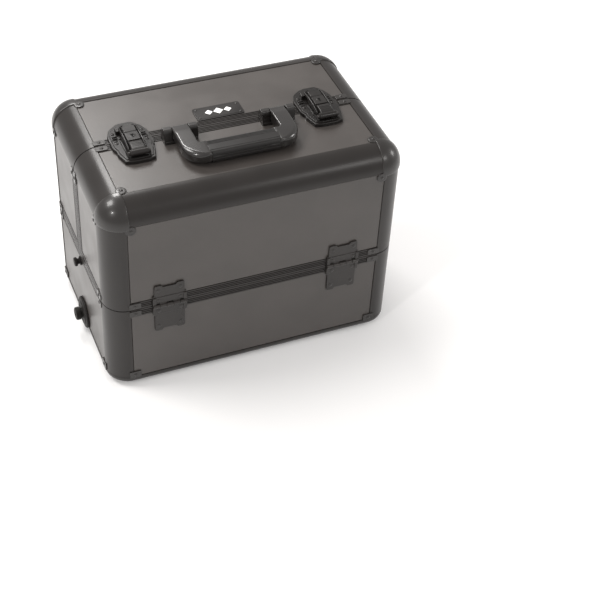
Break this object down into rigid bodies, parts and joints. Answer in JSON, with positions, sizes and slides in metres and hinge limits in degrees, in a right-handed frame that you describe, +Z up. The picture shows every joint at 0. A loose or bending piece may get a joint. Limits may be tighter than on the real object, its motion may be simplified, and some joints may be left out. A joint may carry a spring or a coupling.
{
  "type": "makeup train case",
  "caption": "Black aluminium-framed train case whose two upper halves hinge outwards and carry cantilever trays over a foam-lined base box.",
  "frame": {"origin": "middle of the footprint, on the surface that the feet stand on", "axes": "+X along the case's length, -Y to the front half with the handle, +Z up; modelled closed"},
  "size_m": [0.38, 0.2398, 0.2835],
  "materials": {
    "black_hardware": "black satin painted steel",
    "black_plastic": "fine textured black moulded plastic",
    "black_profile": "black satin anodised aluminium profile",
    "black_sheet": "fine satin black ABS-faced panel",
    "bright_steel": "bright zinc-plated steel",
    "dark_foam": "dark brown-black closed-cell foam",
    "rubber": "black rubber"
  },
  "bodies": {
    "base": {"base_side_panels": "black_sheet", "base_end_panels": "black_sheet", "base_floor_panel": "black_sheet", "base_corner_profiles": "black_profile", "base_bottom_profiles": "black_profile", "base_rim_profiles": "black_profile", "base_corner_tabs": "black_hardware", "base_hinge_leaves": "black_hardware", "hinge_pins": "bright_steel", "foam_liner": "dark_foam", "foam_dividers": "dark_foam", "link_brackets": "bright_steel", "strap_and_bumper_studs": "black_plastic", "base_feet": "rubber"},
    "front_lid": {"front_lid_top_panel": "black_sheet", "front_lid_face_panel": "black_sheet", "front_lid_end_panels": "black_sheet", "front_lid_edge_profiles": "black_profile", "front_lid_rim_profiles": "black_profile", "front_lid_corner_fittings": "black_hardware", "front_lid_hinge_leaves": "black_hardware", "latch_base_plates": "black_hardware", "handle_brackets": "black_hardware"},
    "back_lid": {"back_lid_top_panel": "black_sheet", "back_lid_face_panel": "black_sheet", "back_lid_end_panels": "black_sheet", "back_lid_edge_profiles": "black_profile", "back_lid_rim_profiles": "black_profile", "back_lid_corner_fittings": "black_hardware", "back_lid_hinge_leaves": "black_hardware", "latch_keepers": "black_hardware", "nameplate": "black_hardware"},
    "handle": {"handle_frame": "black_plastic", "handle_grip": "black_plastic"},
    "latch_left": {"latch_lever_left": "black_hardware"},
    "latch_right": {"latch_lever_right": "black_hardware"},
    "front_arms_1_inner": {"front_tray_1_inner_arms": "bright_steel"},
    "front_arms_1_outer": {"front_tray_1_outer_arms": "bright_steel"},
    "front_tray_1": {"front_tray_1": "black_plastic", "front_tray_1_dividers": "black_plastic"},
    "front_arms_2_inner": {"front_tray_2_inner_arms": "bright_steel"},
    "front_arms_2_outer": {"front_tray_2_outer_arms": "bright_steel"},
    "front_tray_2": {"front_tray_2": "black_plastic", "front_tray_2_dividers": "black_plastic"},
    "front_arms_3_inner": {"front_tray_3_inner_arms": "bright_steel"},
    "front_arms_3_outer": {"front_tray_3_outer_arms": "bright_steel"},
    "front_tray_3": {"front_tray_3": "black_plastic", "front_tray_3_dividers": "black_plastic"},
    "back_arms_1_inner": {"back_tray_1_inner_arms": "bright_steel"},
    "back_arms_1_outer": {"back_tray_1_outer_arms": "bright_steel"},
    "back_tray_1": {"back_tray_1": "black_plastic", "back_tray_1_dividers": "black_plastic"},
    "back_arms_2_inner": {"back_tray_2_inner_arms": "bright_steel"},
    "back_arms_2_outer": {"back_tray_2_outer_arms": "bright_steel"},
    "back_tray_2": {"back_tray_2": "black_plastic", "back_tray_2_dividers": "black_plastic"},
    "back_arms_3_inner": {"back_tray_3_inner_arms": "bright_steel"},
    "back_arms_3_outer": {"back_tray_3_outer_arms": "bright_steel"},
    "back_tray_3": {"back_tray_3": "black_plastic", "back_tray_3_dividers": "black_plastic"}
  },
  "joints": [
    {"name": "front_lid_hinge", "type": "hinge", "parent": "base", "child": "front_lid", "pos_m": [0, -0.1175, 0.12], "axis": [1, 0, 0], "range_deg": [0, 90]},
    {"name": "back_lid_hinge", "type": "hinge", "parent": "base", "child": "back_lid", "pos_m": [0, 0.1175, 0.12], "axis": [-1, 0, 0], "range_deg": [0, 90]},
    {"name": "front_arm_1_inner_pivot", "type": "hinge", "parent": "base", "child": "front_arms_1_inner", "pos_m": [0, -0.03649, 0.10516], "axis": [1, 0, 0], "range_deg": [0, 44.3]},
    {"name": "front_arm_1_outer_pivot", "type": "hinge", "parent": "base", "child": "front_arms_1_outer", "pos_m": [0, -0.06049, 0.10516], "axis": [1, 0, 0], "range_deg": [0, 44.3]},
    {"name": "front_tray_1_pivot", "type": "hinge", "parent": "front_arms_1_inner", "child": "front_tray_1", "pos_m": [0, -0.01, 0.159], "axis": [1, 0, 0], "range_deg": [-44.3, 0]},
    {"name": "front_arm_2_inner_pivot", "type": "hinge", "parent": "front_tray_1", "child": "front_arms_2_inner", "pos_m": [0, -0.04999, 0.14416], "axis": [1, 0, 0], "range_deg": [0, 44.3]},
    {"name": "front_arm_2_outer_pivot", "type": "hinge", "parent": "front_tray_1", "child": "front_arms_2_outer", "pos_m": [0, -0.07399, 0.14416], "axis": [1, 0, 0], "range_deg": [0, 44.3]},
    {"name": "front_tray_2_pivot", "type": "hinge", "parent": "front_arms_2_inner", "child": "front_tray_2", "pos_m": [0, -0.0235, 0.198], "axis": [1, 0, 0], "range_deg": [-44.3, 0]},
    {"name": "front_arm_3_inner_pivot", "type": "hinge", "parent": "front_tray_2", "child": "front_arms_3_inner", "pos_m": [0, -0.06399, 0.18316], "axis": [1, 0, 0], "range_deg": [0, 44.3]},
    {"name": "front_arm_3_outer_pivot", "type": "hinge", "parent": "front_tray_2", "child": "front_arms_3_outer", "pos_m": [0, -0.08799, 0.18316], "axis": [1, 0, 0], "range_deg": [0, 44.3]},
    {"name": "front_tray_3_pivot", "type": "hinge", "parent": "front_arms_3_inner", "child": "front_tray_3", "pos_m": [0, -0.0375, 0.237], "axis": [1, 0, 0], "range_deg": [-44.3, 0]},
    {"name": "back_arm_1_inner_pivot", "type": "hinge", "parent": "base", "child": "back_arms_1_inner", "pos_m": [0, 0.03649, 0.10516], "axis": [-1, 0, 0], "range_deg": [0, 44.3]},
    {"name": "back_arm_1_outer_pivot", "type": "hinge", "parent": "base", "child": "back_arms_1_outer", "pos_m": [0, 0.06049, 0.10516], "axis": [-1, 0, 0], "range_deg": [0, 44.3]},
    {"name": "back_tray_1_pivot", "type": "hinge", "parent": "back_arms_1_inner", "child": "back_tray_1", "pos_m": [0, 0.01, 0.159], "axis": [-1, 0, 0], "range_deg": [-44.3, 0]},
    {"name": "back_arm_2_inner_pivot", "type": "hinge", "parent": "back_tray_1", "child": "back_arms_2_inner", "pos_m": [0, 0.04999, 0.14416], "axis": [-1, 0, 0], "range_deg": [0, 44.3]},
    {"name": "back_arm_2_outer_pivot", "type": "hinge", "parent": "back_tray_1", "child": "back_arms_2_outer", "pos_m": [0, 0.07399, 0.14416], "axis": [-1, 0, 0], "range_deg": [0, 44.3]},
    {"name": "back_tray_2_pivot", "type": "hinge", "parent": "back_arms_2_inner", "child": "back_tray_2", "pos_m": [0, 0.0235, 0.198], "axis": [-1, 0, 0], "range_deg": [-44.3, 0]},
    {"name": "back_arm_3_inner_pivot", "type": "hinge", "parent": "back_tray_2", "child": "back_arms_3_inner", "pos_m": [0, 0.06399, 0.18316], "axis": [-1, 0, 0], "range_deg": [0, 44.3]},
    {"name": "back_arm_3_outer_pivot", "type": "hinge", "parent": "back_tray_2", "child": "back_arms_3_outer", "pos_m": [0, 0.08799, 0.18316], "axis": [-1, 0, 0], "range_deg": [0, 44.3]},
    {"name": "back_tray_3_pivot", "type": "hinge", "parent": "back_arms_3_inner", "child": "back_tray_3", "pos_m": [0, 0.0375, 0.237], "axis": [-1, 0, 0], "range_deg": [-44.3, 0]},
    {"name": "handle_hinge", "type": "hinge", "parent": "front_lid", "child": "handle", "pos_m": [0, -0.013, 0.276], "axis": [-1, 0, 0], "range_deg": [0, 90]},
    {"name": "latch_left_hinge", "type": "hinge", "parent": "front_lid", "child": "latch_left", "pos_m": [-0.1115, -0.0355, 0.2755], "axis": [1, 0, 0], "range_deg": [0, 95]},
    {"name": "latch_right_hinge", "type": "hinge", "parent": "front_lid", "child": "latch_right", "pos_m": [0.1115, -0.0355, 0.2755], "axis": [1, 0, 0], "range_deg": [0, 95]}
  ],
  "couplings": [
    {"joint": "front_arm_1_inner_pivot", "follows": "front_lid_hinge", "ratio": 0.49111},
    {"joint": "front_arm_1_outer_pivot", "follows": "front_lid_hinge", "ratio": 0.49111},
    {"joint": "front_tray_1_pivot", "follows": "front_lid_hinge", "ratio": -0.49111},
    {"joint": "front_arm_2_inner_pivot", "follows": "front_lid_hinge", "ratio": 0.49111},
    {"joint": "front_arm_2_outer_pivot", "follows": "front_lid_hinge", "ratio": 0.49111},
    {"joint": "front_tray_2_pivot", "follows": "front_lid_hinge", "ratio": -0.49111},
    {"joint": "front_arm_3_inner_pivot", "follows": "front_lid_hinge", "ratio": 0.49111},
    {"joint": "front_arm_3_outer_pivot", "follows": "front_lid_hinge", "ratio": 0.49111},
    {"joint": "front_tray_3_pivot", "follows": "front_lid_hinge", "ratio": -0.49111},
    {"joint": "back_arm_1_inner_pivot", "follows": "back_lid_hinge", "ratio": 0.49111},
    {"joint": "back_arm_1_outer_pivot", "follows": "back_lid_hinge", "ratio": 0.49111},
    {"joint": "back_tray_1_pivot", "follows": "back_lid_hinge", "ratio": -0.49111},
    {"joint": "back_arm_2_inner_pivot", "follows": "back_lid_hinge", "ratio": 0.49111},
    {"joint": "back_arm_2_outer_pivot", "follows": "back_lid_hinge", "ratio": 0.49111},
    {"joint": "back_tray_2_pivot", "follows": "back_lid_hinge", "ratio": -0.49111},
    {"joint": "back_arm_3_inner_pivot", "follows": "back_lid_hinge", "ratio": 0.49111},
    {"joint": "back_arm_3_outer_pivot", "follows": "back_lid_hinge", "ratio": 0.49111},
    {"joint": "back_tray_3_pivot", "follows": "back_lid_hinge", "ratio": -0.49111}
  ]
}
